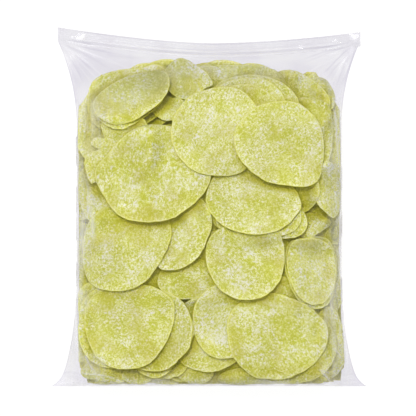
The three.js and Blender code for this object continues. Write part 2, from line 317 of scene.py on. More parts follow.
# ---------------- laying the heap
def from_photo(px, py, z):
    """The place at height z that the camera sees at a pixel of the photograph."""
    scale = MM_PER_PIXEL * (MIDDLE_Z + VIEW_DISTANCE - z) / VIEW_DISTANCE
    half = PHOTO_SIDE / 2
    return VIEW_MIDDLE[0] + (px - half) * scale, VIEW_MIDDLE[1] - (py - half) * scale


RIGHT_HEEL = 5  # how much further out papads lie at the bottom right
SHOULDER_FROM = 76
SHOULDER_SLOPE = 0.6
LOWEST_Y = BOTTOM_Y + HEAP_BOTTOM_GAP + 1.5
CORNER_RADIUS = 15
WALL_ROUNDS = 4  # because the sides depend on how far up the rim is
NEARLY_NONE = 0.01  # keeps divisions away from 0


def sides_at(y, slope=0.0):
    """How far left and right papads lie, which a slope narrows towards the mouth."""
    corner = CORNER_RADIUS * (1 - rounded((LOWEST_Y + CORNER_RADIUS - y) / CORNER_RADIUS, 2))
    side = HEAP_SPAN / 2 - 1 - slope * np.maximum(y - SHOULDER_FROM, 0) - corner
    return -side, side + RIGHT_HEEL * ear_share(y)


def kept_in(at, radii, slope=0.0):
    """A papad's radii, cut short where it would reach outside the heap."""
    turns = around_circle(len(radii))
    across, up = np.cos(turns), np.sin(turns)
    if slope:
        for side in (-1, 1):
            room = HEAP_SPAN / 2 - side * at[0] - slope * (at[1] - SHOULDER_FROM)
            toward = np.maximum(side * across + slope * up, NEARLY_NONE)
            radii = np.minimum(radii, max(room, 1) / toward)
    for _ in range(WALL_ROUNDS):
        left, right = sides_at(np.maximum(at[1] + radii * up, LOWEST_Y))
        wall = np.where(across > 0, right - at[0], at[0] - left)
        radii = np.minimum(radii, wall / np.maximum(np.abs(across), NEARLY_NONE))
    return np.clip(radii, 1, np.maximum(at[1] - LOWEST_Y, 1) / np.maximum(-up, NEARLY_NONE))


def traced(points, curl, rng):
    """One papad from its entry in FRONT: its middle, its radii all round, and its curl."""
    x, y = from_photo(*points.T, HEAP_DEPTH)
    z = np.clip(heap_front(x.mean(), y.mean()), CREASE_Z, HEAP_DEPTH)
    x, y = from_photo(*points.T, z)
    at = ((x.min() + x.max()) / 2, (y.min() + y.max()) / 2)
    angle = np.arctan2(y - at[1], x - at[0]) % (2 * math.pi)
    order = np.argsort(angle)
    reach = np.hypot(x - at[0], y - at[1])[order]
    radii = np.interp(around_circle(ANGLES), angle[order], reach, period=2 * math.pi)
    radii = 0.25 * np.roll(radii, 1) + 0.5 * radii + 0.25 * np.roll(radii, -1)
    radii += RIM_ROUGH * rng.normal(0, 1, ANGLES)
    turn, height = curl or (0, 0)
    return {"at": at, "radii": kept_in(at, radii), "curl": (math.radians(turn), height)}


def random_papad(rng, at, sizes):
    radius, flat = rng.uniform(*sizes), rng.uniform(FLATTEST, 1)
    turns = around_circle(INSIDE_ANGLES)
    radii = np.full(INSIDE_ANGLES, radius)
    for k, size in ((2, (1 - flat) / 2), *OUTLINE_WAVES):
        radii += radius * size * np.cos(k * turns + rng.uniform(0, 2 * math.pi))
    return {"at": at, "radii": kept_in(at, radii, SHOULDER_SLOPE), "curl": (0, 0)}


BENDS = [(i, j) for total in range(5) for i in range(total + 1) for j in [total - i]]


def bend_basis(dx, dy):
    """The powers of x and y, up to the fourth, that a papad's bent shape is made of."""
    return np.stack([dx**i * dy**j for i, j in BENDS], axis=-1)


def neighbours(values):
    padded = np.pad(values, 1, mode="edge")
    rows, cols = values.shape
    return [padded[r : r + rows, c : c + cols] for r in range(3) for c in range(3)]


STIFFNESS = (0, 0, 0.002, 0.006, 0.006)  # against bends of each order
EASE_ROUNDS = 14
EASE_EVEN = 2
WAVES = (60, 34, 19)  # lengths of the waves in a papad, in mm
WAVE_HEIGHT = 0.011  # as a share of the length


class Heap:
    """Papads laid one on another, with the height of the heap kept on a grid."""

    def __init__(self):
        self.xs = np.arange(-GRID_SIDE, GRID_SIDE + 0.1, CELL)
        self.ys = np.arange(BOTTOM_Y, GRID_TOP, CELL)
        self.x, self.y = np.meshgrid(self.xs, self.ys)
        self.top = heap_back(self.x, self.y) + FLOOR_CLEAR
        self.high = heap_front(self.x, self.y)
        self.under = np.full_like(self.top, np.inf)
        left, right = sides_at(self.y, SHOULDER_SLOPE)
        self.beyond = (self.x < left) | (self.x > right) | (self.y < LOWEST_Y)

    def look_for(self, radius):
        """Sets the size of the papads that roomiest() finds places for."""
        self.padded = [n + int(2 * radius / CELL) for n in self.top.shape]
        down, across = (np.fft.fftfreq(n) * n * CELL for n in self.padded)
        disc = np.hypot(down[:, None], across[None, :]) < radius
        self.disc = np.fft.rfft2(disc / disc.sum())
        self.share = self.spread(~self.beyond)

    def spread(self, values):
        """Each place's sum of the values that a papad laid there would cover, over its area."""
        rows, cols = self.top.shape
        spectrum = np.fft.rfft2(values, self.padded) * self.disc
        return np.fft.irfft2(spectrum, self.padded)[:rows, :cols]

    def roomiest(self, limit, rng, barred):
        """A place where a papad has about the most room under the limit, away from barred ones."""
        space = limit - self.top
        worth = np.where(space > PAPAD_THICK, np.minimum(space, ROOM_MOST), -ROOM_MISS)
        score = self.spread(np.where(self.beyond, 0, worth)) / np.maximum(self.share, 0.3)
        score += rng.uniform(0, ROOM_CHANCE, score.shape)
        allowed = self.share > LEAST_SHARE
        for x, y in barred:
            allowed &= np.hypot(self.x - x, self.y - y) > MISS_RADIUS
        best = np.argmax(np.where(allowed, score, -np.inf))
        return self.x.flat[best], self.y.flat[best]

    def footprint(self, papad):
        """The cells that a papad covers, as a window and a mask, with offsets from its middle."""
        at, radii = papad["at"], papad["radii"]
        reach = radii.max() + 2 * CELL
        c0, c1 = np.searchsorted(self.xs, [at[0] - reach, at[0] + reach])
        r0, r1 = np.searchsorted(self.ys, [at[1] - reach, at[1] + reach])
        window = (slice(r0, r1), slice(c0, c1))
        dx, dy = self.x[window] - at[0], self.y[window] - at[1]
        angle = np.arctan2(dy, dx) % (2 * math.pi)
        rim = np.interp(angle, around_circle(len(radii)), radii, period=2 * math.pi)
        return window, np.hypot(dx, dy) <= rim, dx, dy

    def lay(self, papad, rng, kind, gap, tilt=0.0, limit=None):
        """Drapes one papad over what lies under it, pressed down to stay under the limit."""
        window, mask, dx, dy = self.footprint(papad)
        under = np.max(neighbours(self.top[window]), axis=0)
        size = papad["radii"].mean()
        basis = bend_basis(dx / size, dy / size)
        inside = basis[mask]
        aim = np.minimum(under, self.high[window])[mask]
        hold = np.diag([STIFFNESS[i + j] for i, j in BENDS]) * mask.sum()
        shape = np.linalg.solve(inside.T @ inside + hold, inside.T @ aim)
        shape[3:6] += rng.normal(0, WARP[kind], 3)
        rest = basis @ shape
        rest += np.quantile((under - rest)[mask], 1 - SINK[kind])
        rest -= tilt * dy / size
        turn, height = papad["curl"]
        toward = (dx * math.cos(turn) + dy * math.sin(turn)) / size
        risen = np.clip((toward + CURL_FROM) / (1 + CURL_FROM), 0, 2)
        rest += height * risen**2
        for length in WAVES:
            way, phase = rng.uniform(0, 2 * math.pi, 2)
            wave = np.sin((dx * math.cos(way) + dy * math.sin(way)) * 2 * math.pi / length + phase)
            rest += wave * length * WAVE_HEIGHT
        need = np.where(mask, np.maximum(under - rest, 0), 0)
        ease = need
        for _ in range(EASE_ROUNDS):
            ease = np.maximum(np.mean(neighbours(ease), axis=0), need)
        for _ in range(EASE_EVEN):
            ease = np.mean(neighbours(ease), axis=0)
        rest += ease
        if limit is not None:
            rest = np.minimum(rest, np.maximum(limit[window] - PAPAD_THICK - gap, under))
        top = rest + PAPAD_THICK + gap
        self.top[window] = np.where(mask, np.maximum(self.top[window], top), self.top[window])
        self.under[window] = np.where(
            mask, np.minimum(self.under[window], rest), self.under[window]
        )
        papad["rest"], papad["window"] = rest, window

    def painted_gap_shade(self, points):
        """How deep in the gaps of the finished heap points lie, from 0 to 1: where shade is painted.
        """
        broad = self.top
        for _ in range(PAINTED_GAP_SHADE_EVEN):
            broad = np.mean(neighbours(broad), axis=0)
        rise = self.top - broad
        for _ in range(PAINTED_GAP_SHADE_REACH):
            rise = np.max(neighbours(rise), axis=0)
        for _ in range(PAINTED_GAP_SHADE_REACH):
            rise = np.mean(neighbours(rise), axis=0)
        depth = self.sample(broad + rise, points[:, 0], points[:, 1]) - points[:, 2]
        return smoothstep(depth, *PAINTED_GAP_SHADE_DEPTH)

    def sample(self, values, x, y, window=None):
        """Reads a grid of values at any place, between its cells."""
        c0, r0 = (window[1].start, window[0].start) if window else (0, 0)
        c = np.clip((x - self.xs[c0]) / CELL, 0, values.shape[1] - 1.001)
        r = np.clip((y - self.ys[r0]) / CELL, 0, values.shape[0] - 1.001)
        ci, ri = c.astype(int), r.astype(int)
        low = lerp(values[ri, ci], values[ri, ci + 1], c - ci)
        high = lerp(values[ri + 1, ci], values[ri + 1, ci + 1], c - ci)
        return lerp(low, high, r - ri)


def fill(heap, limit, rng, sizes):
    """Lays papads inside, each where there is most room, until there is none."""
    inside, misses = [], []
    heap.look_for(sum(sizes) / 2)
    while len(inside) < INSIDE_MOST and len(misses) < MISSES_MOST:
        papad = random_papad(rng, heap.roomiest(limit, rng, misses), sizes)
        window, mask, _, _ = heap.footprint(papad)
        space = (limit - heap.top)[window][mask]
        if np.quantile(space, ROOM_SHORT) > PAPAD_THICK:
            heap.lay(papad, rng, "inside", INSIDE_GAP, limit=limit)
            inside.append(papad)
            misses = []
        else:
            misses.append(papad["at"])
    return inside


def lay_heap():
    """All papads: those inside, up to the room that the front ones need, and the front ones."""
    rng = np.random.default_rng(SEED)
    heap = Heap()
    front = [traced(*entry, rng) for entry in entries(FRONT)]
    limit = heap.high + HEAP_RISE * fullness(heap.x, heap.y, FRONT_ROUND)
    for papad in front:
        window, mask, _, _ = heap.footprint(papad)
        limit[window] -= mask * FRONT_LAYER
    for x, y, radius, depth in HOLLOWS:
        limit -= depth * np.clip(1 - np.hypot(heap.x - x, heap.y - y) / radius, 0, 1) ** 0.5
    inside = [papad for sizes in INSIDE_RADII for papad in fill(heap, limit, rng, sizes)]
    for papad in front:
        heap.lay(papad, rng, "front", FRONT_GAP, FRONT_TILT)
    return heap, inside, front


# ---------------- meshes
def in_scene(name, data):
    thing = bpy.data.objects.new(name, data)
    bpy.context.scene.collection.objects.link(thing)
    return thing


def new_object(name, vertices, faces, material):
    mesh = bpy.data.meshes.new(name)
    mesh.from_pydata((np.asarray(vertices) * MM).tolist(), [], faces)
    mesh.polygons.foreach_set("use_smooth", np.ones(len(mesh.polygons), bool))
    mesh.materials.append(material)
    mesh.validate()
    mesh.update()
    return in_scene(name, mesh)


def add_attribute(piece, name, values):
    values = np.asarray(values, np.float32)
    kind, field = ("FLOAT", "value") if values.ndim == 1 else ("FLOAT_VECTOR", "vector")
    attribute = piece.data.attributes.new(name, kind, "POINT")
    attribute.data.foreach_set(field, values.ravel())


RIM_CROWDING = 1.25  # how much closer a papad's loops are towards its rim
RIM_ANGLES = (48, 0, -48)
DEEP_INSIDE = 99  # further from the rim than matters, in mm
GRAIN_APART = 900  # keeps the grain of one papad from another's


def with_tips(loops):
    """The points of all loops, with the first and the last loop as one point each."""
    return np.vstack([loops[0, :1], loops[1:-1].reshape(-1, 3), loops[-1, :1]])


def papad_mesh(heap, papad, detail, rng):
    """One papad: vertices, faces, its own grain coordinates, and how far each is from the rim."""
    radii = papad["radii"]
    sides = len(radii)
    around = np.arange(sides) * 2 * math.pi / sides
    edge = PAPAD_THICK / 2 / radii.mean()
    reach = [1 - edge - (1 - k / detail["top"]) ** RIM_CROWDING for k in range(1, detail["top"] + 1)]
    reach = np.clip(reach, 0.03, 1)
    low_reach = np.linspace(1 - edge, 0, detail["under"] + 1)[:-1]
    loops = [(r, 1) for r in reach]
    for angle in RIM_ANGLES:
        turn = math.radians(angle)
        loops.append((1 - edge + edge * math.cos(turn), math.sin(turn)))
    loops += [(r, -1) for r in low_reach]
    rho = np.array([0] + [r for r, _ in loops] + [0])
    side = np.array([1] + [s for _, s in loops] + [-1])
    fan = np.outer(rho, radii)
    u, v = fan * np.cos(around), fan * np.sin(around)
    x, y = papad["at"][0] + u, papad["at"][1] + v
    z = heap.sample(papad["rest"], x, y, papad["window"]) + PAPAD_THICK / 2
    z = z + side[:, None] * PAPAD_THICK / 2
    vertices = with_tips(np.stack([x, y, z], axis=-1))
    turn = rng.uniform(0, 2 * math.pi)
    c, s = math.cos(turn), math.sin(turn)
    grain = np.stack([u * c - v * s, u * s + v * c, np.repeat(side[:, None], sides, 1) * 2], -1)
    inward = ((1 - rho[1:-1, None]) * radii).ravel()
    inward = np.concatenate([[DEEP_INSIDE], inward, [DEEP_INSIDE]])
    count = len(loops)
    index = 1 + np.arange(count * sides).reshape(count, sides)
    after = np.roll(index, -1, axis=1)
    quads = np.stack([index[:-1], index[1:], after[1:], after[:-1]], axis=-1).reshape(-1, 4)
    last = count * sides + 1
    caps = [[0, int(a), int(b)] for a, b in zip(index[0], after[0])]
    caps += [[last, int(b), int(a)] for a, b in zip(index[-1], after[-1])]
    grain = with_tips(grain) + rng.uniform(-GRAIN_APART, GRAIN_APART, 3)
    return vertices, quads.tolist() + caps, grain, inward


def papad_piece(name, heap, papads, detail, material):
    rng = np.random.default_rng(SEED + len(papads))
    parts, faces, start = [], [], 0
    for papad in papads:
        points, polygons, grain, rim = papad_mesh(heap, papad, detail, rng)
        faces += [[i + start for i in polygon] for polygon in polygons]
        parts.append((points, grain, rim, np.full(len(points), rng.uniform(0, 1))))
        start += len(points)
    vertices, grains, rims, tones = (np.concatenate(values) for values in zip(*parts))
    piece = new_object(name, vertices, faces, material)
    # Painted shade: the papads are darker and more olive deep in the heap's gaps
    add_attribute(piece, "painted_gap_shade", heap.painted_gap_shade(vertices))
    add_attribute(piece, "grain", grains)
    add_attribute(piece, "inward", rims)
    add_attribute(piece, "tone", tones)
    return piece


# ---------------- the film's folds
# Fold lines that show, in pixels of the photograph, each up to a semicolon. After a bar: half
# their width in mm, and how light they are painted as painted highlight, or how dark below 0 as
# painted shade
FOLDS = """
# top left, out of the end of the zip
64,41 72,41.8 80,43.8 92,46.5 98,47.2 | 0.9 1;
66,40 80,41.8 92,43.8 97,44.6 | 0.9 -1;
80,46 90,48.5 100,50.2 116,53.6 | 0.9 -0.8;
63,43 70,47 80,51 92,57 106,65 | 1 -0.7;
74,53 80,59 88,66 95,72 | 0.9 -0.8;
60,43 72,51.5 82,59 98,70 | 0.8 0.6;
74,47 86,52 102,59 | 1 0.5;
60,47 66,53 72,63 79,74 85,87 | 0.9 -0.7;
59.5,46 63,53 68,63 73,77 | 0.7 0.8;
62,47 70,60 77,72 84,86 | 0.8 0.5;
58,41 61,50 65,62 69,75 73,90 | 0.7 -0.8;
66,60 70,72 74,86 77,100 | 0.8 0.6;
104,53.5 116,56 130,57.5 152,58 | 1.3 -0.5;
# along the zip
190,57.5 230,58.5 265,57 300,54 | 1.6 -0.4;
150,54 190,55.4 230,55.5 265,54.5 | 0.9 0.4;
160,47.5 185,51 230,52.2 262,51.5 290,50 | 0.8 -0.4;
# top right
357,40.5 345,42.8 335,45 320,47 298,48.8 | 0.8 -0.8;
355,42 345,44.5 335,47 322,49.3 | 0.9 0.7;
355,42.5 348,46.5 338,49 320,50.2 296,52 | 0.7 -0.6;
354,44 344,49.5 334,53.2 318,57 | 0.8 0.5;
346,46 335,49 322,52 312,55.8 298,61 | 0.9 -0.6;
356,44 348,52 340,60 328,67.5 316,71 | 1.2 0.5;
349,47 344,52 338,58.5 331,66 323,74 | 0.9 -0.6;
357,44 350,54 342,63 334,71 328,78 | 1 0.5;
356,48 353,57 349,68 344,80 341,92 | 1 -0.9;
354.5,49 351.5,57 347,68 342,82 | 0.6 0.6;
347,56 341,66 337,76 336,88 | 1.2 0.4;
# right side
341,97 336,102 331,105 | 0.7 0.7;
332,106 333,116 334.5,130 335,146 336,160 | 0.9 1.1;
338,130 336,150 336.5,165 337.5,178 | 0.6 1.2;
320,178 322,184 324,190 | 0.5 0.7;
330,187 333,198 335,214 | 0.6 0.8;
337,236 337.5,262 336,290 | 0.9 0.5;
327,299 329,306 334,309 | 0.6 0.6;
# left side
77.3,336 79,343 81.8,350 82,358 | 0.7 1.8;
80,338 83,346 85,352 | 0.7 1;
76,350 78,356 80,362 | 0.5 0.6;
80,150 78,180 77,215 76.5,250 | 0.7 0.4;
77,255 76,290 75,320 | 0.8 0.5;
# bottom left
87,352 91,360 95.7,369.6 | 0.7 1.6;
96,370.5 105,372 114,374 123,379.5 129,384 | 0.8 1.1;
80,370.6 88,371.4 97,371 96.5,367 92,361 | 0.6 1.2;
60,373 72,371.4 84,372.4 98,373.5 | 0.8 -0.6;
54,384 75,382 95,382.7 120,383 | 0.7 0.9;
62,377 72,380 88,381.2 | 0.9 0.6;
120,376 126,379.5 132,383 | 0.7 1;
# bottom right
315.8,364.2 322,371 328,378 335,384.5 | 0.8 1.5;
318,365 325,369 333,370.5 | 0.6 1;
330,344 336,351 342,358 | 0.9 0.8;
343,377.5 350,376.4 357,378 | 0.8 1;
342,382 350,382.6 358,381 | 0.8 0.7;
350,356 356,368 361,379 | 0.6 -0.6;
338,374 346,378 352,382 | 0.8 0.5;
"""
FOLD_Z = 30
FOLD_RISE = 0.22  # height of a light fold, in mm
FAN_FOLDS = 9
FAN_ORIGINS = ((58, 41), (357, 42))
FAN_REACH = (5, 16, 26, 75)  # where a fold of the fan starts, and how long it is, in mm


def fan_folds(rng):
    """Finer folds that fan out of the zip's two ends, between the traced ones."""
    lines = []
    for side, (px, py) in zip((1, -1), FAN_ORIGINS):
        x, y = from_photo(px, py, FOLD_Z)
        for k in range(FAN_FOLDS):
            angle = math.radians(lerp(10, 72, (k + rng.uniform(0.2, 0.8)) / FAN_FOLDS))
            start = rng.uniform(*FAN_REACH[:2])
            reach = start + rng.uniform(*FAN_REACH[2:]) * np.linspace(0, 1, 4)
            bent = angle + rng.uniform(0, 0.12) * np.linspace(0, 1, 4)
            points = np.stack([x + side * reach * np.cos(bent), y - reach * np.sin(bent)], -1)
            # Each fan fold gets a painted highlight or a painted shade, at random
            lines.append((points, rng.uniform(0.5, 0.9), rng.choice((-0.45, 0.45))))
    return lines


def fold_height_and_painted_light(x, y):
    """How light each place is painted by the folds, from painted shade below 0 to painted highlight
    above it.
    """
    traced_folds = entries(FOLDS)
    lines = [(np.stack(from_photo(*at.T, FOLD_Z), -1), *look) for at, look in traced_folds]
    lines += fan_folds(np.random.default_rng(SEED))
    field = np.zeros_like(x)
    for points, width, light in lines:
        steps = np.diff(points, axis=0)
        lengths = np.hypot(*steps.T)
        ends = np.concatenate([[0], np.cumsum(lengths)]) / lengths.sum()
        nearest, along = np.full_like(x, np.inf), np.zeros_like(x)
        for k, (start, step) in enumerate(zip(points, steps)):
            t = ((x - start[0]) * step[0] + (y - start[1]) * step[1]) / lengths[k] ** 2
            t = np.clip(t, 0, 1)
            away = np.hypot(x - start[0] - t * step[0], y - start[1] - t * step[1])
            along = np.where(away < nearest, lerp(ends[k], ends[k + 1], t), along)
            nearest = np.minimum(nearest, away)
        taper = smoothstep(along, 0, 0.15) * (1 - smoothstep(along, 0.6, 1))
        field += light * taper * np.exp(-((nearest / width) ** 2))
    return np.clip(field, -1.2, 1.2)


# ---------------- the film
FILM_COLUMNS = 204
FILM_ROWS = 228
COARSER = 3  # the film is first stretched on a grid this much coarser
EDGE_CROWDING = 0.75
FILM_CLEAR = 0.45
FILM_LOWEST = 0.06
FIN_HALF = 0.3
RELAX_ROUNDS = 500
FINE_ROUNDS = 160
SIDE_PAINTED_SHEEN = (0.08, 1.5, 11)  # how strong the painted sheen is at the film's sides, and how far in, from and to
# How strong the painted sheen is along the bottom, and how far up, from and to
BOTTOM_PAINTED_SHEEN = (0.1, 3, 15)
# Patches of painted sheen: x, y, half width and half height in mm, and how strong
PAINTED_SHEEN_PATCHES = (
    (86, -62, 21, 46, 0.06), (101, 20, 9, 62, 0.14), (100, -95, 12, 40, 0.16),
    (-100, -27, 11, 60, 0.19), (-94, -128, 15, 13, 0.14), (97, -131, 13, 11, 0.1),
    (88, 97, 13, 13, 0.08), (20, 107, 60, 7, 0.07), (-92, 62, 14, 26, 0.14),
    (-78, 84, 26, 14, 0.07),
)
EDGE_PAINTED_SHADE = (0.9, 0.9)  # how dark the painted shade along the film's outline is, and how wide, in mm
BOTTOM_PAINTED_SHADE = (0.45, 3, 15)  # how dark the painted shade along the bottom is, and how far up
# How dark the painted shade at the mouth end of the heap is, and the y where it starts to darken, is
# darkest from and to, and is clear again
MOUTH_PAINTED_SHADE = (0.5, 93, 104, 110, 122)


def crowded_lines(count):
    t = np.linspace(-1, 1, count + 1)
    return lerp(t, np.sin(t * math.pi / 2), EDGE_CROWDING)


def film_grid(columns, rows):
    u, v = np.meshgrid(crowded_lines(columns), crowded_lines(rows))
    top = mouth_y(u * MOUTH_SPAN / 2) - ZIP_BAND
    top = mouth_y(u * half_width(top)) - ZIP_BAND
    y = lerp(BOTTOM_Y, top, (v + 1) / 2)
    return u * half_width(y), y


def stretch(x, y, z, hold, rounds):
    """Film pulled tight: each point settles at the mean of its neighbours, held off by the heap."""

    def weight(rows, cols):
        other = (slice(1 + rows, x.shape[0] - 1 + rows), slice(1 + cols, x.shape[1] - 1 + cols))
        mid = (slice(1, -1), slice(1, -1))
        return 1 / ((x[other] - x[mid]) ** 2 + (y[other] - y[mid]) ** 2), other

    near = [weight(*step) for step in ((-1, 0), (1, 0), (0, -1), (0, 1))]
    total = sum(w for w, _ in near)
    z = z.copy()
    for _ in range(rounds):
        mean = sum(w * z[other] for w, other in near) / total
        z[1:-1, 1:-1] = hold(lerp(z[1:-1, 1:-1], mean, 0.95))
    return z


def finer(values, shape):
    """A grid of values read at more lines, evenly between its own."""
    for axis, count in enumerate(shape):
        places = np.linspace(0, values.shape[axis] - 1, count)
        low = np.minimum(places.astype(int), values.shape[axis] - 2)
        part = np.expand_dims(places - low, 1 - axis)
        values = lerp(np.take(values, low, axis), np.take(values, low + 1, axis), part)
    return values


def film_heights(heap, x, y, starts, rounds):
    """Heights of the front and back film over the heap, stretched from where they start."""
    covered = np.isfinite(heap.under)
    heap_low = np.min(neighbours(heap.under), axis=0)
    heap_high = np.max(neighbours(np.where(covered, heap.top, 0)), axis=0)
    covered = np.isfinite(heap_low)
    high = heap.sample(np.where(covered, heap_high + FILM_CLEAR, 0), x, y)[1:-1, 1:-1]
    low = heap.sample(np.where(covered, heap_low - FILM_CLEAR, HEAP_DEPTH), x, y)[1:-1, 1:-1]
    low = np.maximum(low, FILM_LOWEST)
    front = stretch(x, y, starts[0], lambda z: np.maximum(z, high), rounds)
    back = stretch(x, y, starts[1], lambda z: np.clip(z, FILM_LOWEST, low), rounds)
    return front, back


def film_painted_sheen(x, y):
    """Where a pale veil is painted on the film as painted sheen: along its sides, its bottom and in
    patches.
    """
    inward = half_width(y) - np.abs(x)
    full, near, far = SIDE_PAINTED_SHEEN
    painted_sheen = full * (1 - smoothstep(inward, near, far)) * (1 - smoothstep(y, 50, 100))
    full, near, far = BOTTOM_PAINTED_SHEEN
    painted_sheen = np.maximum(painted_sheen, full * (1 - smoothstep(y - BOTTOM_Y, near, far)))
    for at_x, at_y, wide, high, full in PAINTED_SHEEN_PATCHES:
        away = np.hypot((x - at_x) / wide, (y - at_y) / high)
        painted_sheen = np.maximum(painted_sheen, full * (1 - smoothstep(away, 0.75, 1.1)))
    return painted_sheen


def film_piece(heap, material):
    x, y = film_grid(FILM_COLUMNS // COARSER, FILM_ROWS // COARSER)
    starts = [crease_z(y) + side * FIN_HALF for side in (1, -1)]
    coarse = film_heights(heap, x, y, starts, RELAX_ROUNDS)
    x, y = film_grid(FILM_COLUMNS, FILM_ROWS)
    front, back = film_heights(heap, x, y, [finer(z, x.shape) for z in coarse], FINE_ROUNDS)
    fold_rise_and_painted_light = fold_height_and_painted_light(x, y)
    front[1:-1, 1:-1] += (FOLD_RISE * (fold_rise_and_painted_light + 0.3 * np.abs(fold_rise_and_painted_light)))[1:-1, 1:-1]
    # Painted shade along the film's outline, along its bottom and at the mouth end of the heap
    painted_shade_amount, wide = EDGE_PAINTED_SHADE
    fold_rise_and_painted_light -= painted_shade_amount * np.exp(-(((half_width(y) - np.abs(x)) / wide) ** 2))
    painted_shade_amount, near, far = BOTTOM_PAINTED_SHADE
    fold_rise_and_painted_light -= painted_shade_amount * (1 - smoothstep(y - BOTTOM_Y, near, far))
    painted_shade_amount, rises, full, falls, ends = MOUTH_PAINTED_SHADE
    fold_rise_and_painted_light -= painted_shade_amount * smoothstep(y, rises, full) * (1 - smoothstep(y, falls, ends))
    front = np.maximum(front, back + 2 * FIN_HALF)
    rows, cols = x.shape
    points = np.vstack([np.stack([x, y, z], -1).reshape(-1, 3) for z in (front, back)])
    index = np.arange(rows * cols).reshape(rows, cols)
    quads = np.stack([index[:-1, :-1], index[:-1, 1:], index[1:, 1:], index[1:, :-1]], -1)
    quads = quads.reshape(-1, 4)
    under = quads[:, ::-1] + rows * cols
    rim = np.concatenate([index[0, :-1], index[:-1, -1], index[-1, :0:-1], index[:0:-1, 0]])
    nxt = np.roll(rim, -1)
    wall = np.stack([rim, rim + rows * cols, nxt + rows * cols, nxt], -1)
    piece = new_object("film", points, np.vstack([quads, under, wall]).tolist(), material)
    # Painted highlight and painted shade of the folds, the outline, the bottom and the mouth end
    add_attribute(piece, "painted_light_and_shade", np.concatenate([fold_rise_and_painted_light.ravel(), 0 * fold_rise_and_painted_light.ravel()]))
    # Painted sheen at the film's sides, its bottom and in patches
    add_attribute(piece, "painted_sheen", np.tile(film_painted_sheen(x, y).ravel(), 2))
    return piece


# ---------------- the zip
# Down from the edge of the mouth, half its thickness there, and how light or dark it is painted, as
# painted highlight and painted shade of the ribs
ZIP_PROFILE = (
    (0, 0.3, -0.4), (0.5, 0.32, -0.9), (1.1, 0.32, -0.8), (1.8, 0.32, 0.2), (2.3, 0.6, 0.6),
    (2.8, 0.9, 0.3), (3.4, 0.6, -0.4), (3.8, 0.4, 0), (4.4, 0.4, 0.5), (5.0, 0.7, -0.4),
    (5.6, 1.0, -0.7), (6.2, 0.9, 0.4), (6.8, 0.5, 1.0), (7.4, 0.45, 0.7), (8.0, 0.8, -0.4),
    (8.6, 1.2, -1.0), (9.3, 1.2, -0.9), (9.9, 0.7, 0), (10.6, 0.5, 0.7), (11.5, 0.35, 0.3),
)
ZIP_STATIONS = 300
ZIP_LINES = 40
CRIMP = 26  # how much of each end of the zip is pressed flat
DENT_WHITENING_AND_GLINT = 2.2  # how white the crumpled film is painted in its dents: partly its own whitening, partly a painted glint
# Dents in the zip: place in pixels of the photograph, radius and depth in mm
DENTS = (
    (72, 37.5, 1.2, 0.7), (77, 38, 1.5, 0.9), (81, 37.5, 2.4, 1.3), (83.5, 34.5, 1.8, 0.9),
    (66, 34, 2.5, 0.4), (302, 46.5, 1.6, 0.7), (335.5, 40, 1.5, 0.8), (338.5, 41.5, 1.2, 0.7),
    (352, 34.5, 2.2, 0.9), (355, 37.5, 2.4, 1.2), (357.5, 34.5, 1.6, 0.8), (108, 36, 2.5, 0.3),
)


def dents(x, y):
    total = np.zeros_like(x)
    for px, py, radius, depth in DENTS:
        at = from_photo(px, py, FOLD_Z)
        total += depth * np.exp(-((x - at[0]) ** 2 + (y - at[1]) ** 2) / radius**2)
    return total


def zip_piece(material):
    xs = np.linspace(-MOUTH_SPAN / 2, MOUTH_SPAN / 2, ZIP_STATIONS + 1)
    down = np.linspace(0, ZIP_BAND, ZIP_LINES + 1)
    half, rib_painted_light = (np.interp(down, *np.array(ZIP_PROFILE).T[[0, k]]) for k in (1, 2))
    inward = MOUTH_SPAN / 2 - np.abs(xs)[:, None]
    pressed = 1 - smoothstep(inward, CRIMP * 0.4, CRIMP)
    section = lerp(half, 0.35, 0.75 * pressed)
    x = np.repeat(xs[:, None], len(down), 1)
    y = mouth_y(x) - down
    lip = 0.5 * np.sin(x * 0.05 + 1) * np.exp(-down / 2.5)
    fold_rise_and_painted_light = fold_height_and_painted_light(x, y)
    crumpled = dents(x, y)
    middle = ZIP_Z + lip + crumpled + FOLD_RISE * fold_rise_and_painted_light * smoothstep(inward, 0, 3)
    upper = np.stack([x, y, middle + section], -1)
    lower = np.stack([x, y, middle - section], -1)[:, ::-1]
    ring = np.concatenate([upper, lower], axis=1)
    n = ring.shape[1]
    index = np.arange(ring.shape[0] * n).reshape(-1, n)
    after = np.roll(index, -1, axis=1)
    quads = np.stack([index[:-1], after[:-1], after[1:], index[1:]], -1).reshape(-1, 4).tolist()
    k = len(down)
    for row, flip in ((index[0], True), (index[-1], False)):
        for i in range(k - 1):
            cap = [row[i], row[i + 1], row[n - 2 - i], row[n - 1 - i]]
            quads.append([int(a) for a in (cap[::-1] if flip else cap)])
    piece = new_object("zip", ring.reshape(-1, 3), quads, material)
    uneven = 0.75 + 0.35 * np.sin(x * 0.071 + down * 0.4) * np.sin(x * 0.023 + 2)
    # Painted highlight and painted shade of the ribs and the folds, and white in the dents that is
    # partly the crumpled film's own whitening, partly a painted glint
    look = rib_painted_light * (1 - 0.8 * pressed) * uneven + fold_rise_and_painted_light + DENT_WHITENING_AND_GLINT * crumpled**2
    add_attribute(piece, "painted_light_and_shade", np.concatenate([look, 0 * look], axis=1).ravel())
    add_attribute(piece, "painted_sheen", np.zeros(look.size * 2))
    return piece


# ---------------- materials
def srgb(r, g, b):
    """A colour given as the eye reads it, from 0 to 255, in linear light."""
    shares = (r / 255, g / 255, b / 255)
    return tuple(((c + 0.055) / 1.055) ** 2.4 if c > 0.04 else c / 12.92 for c in shares)


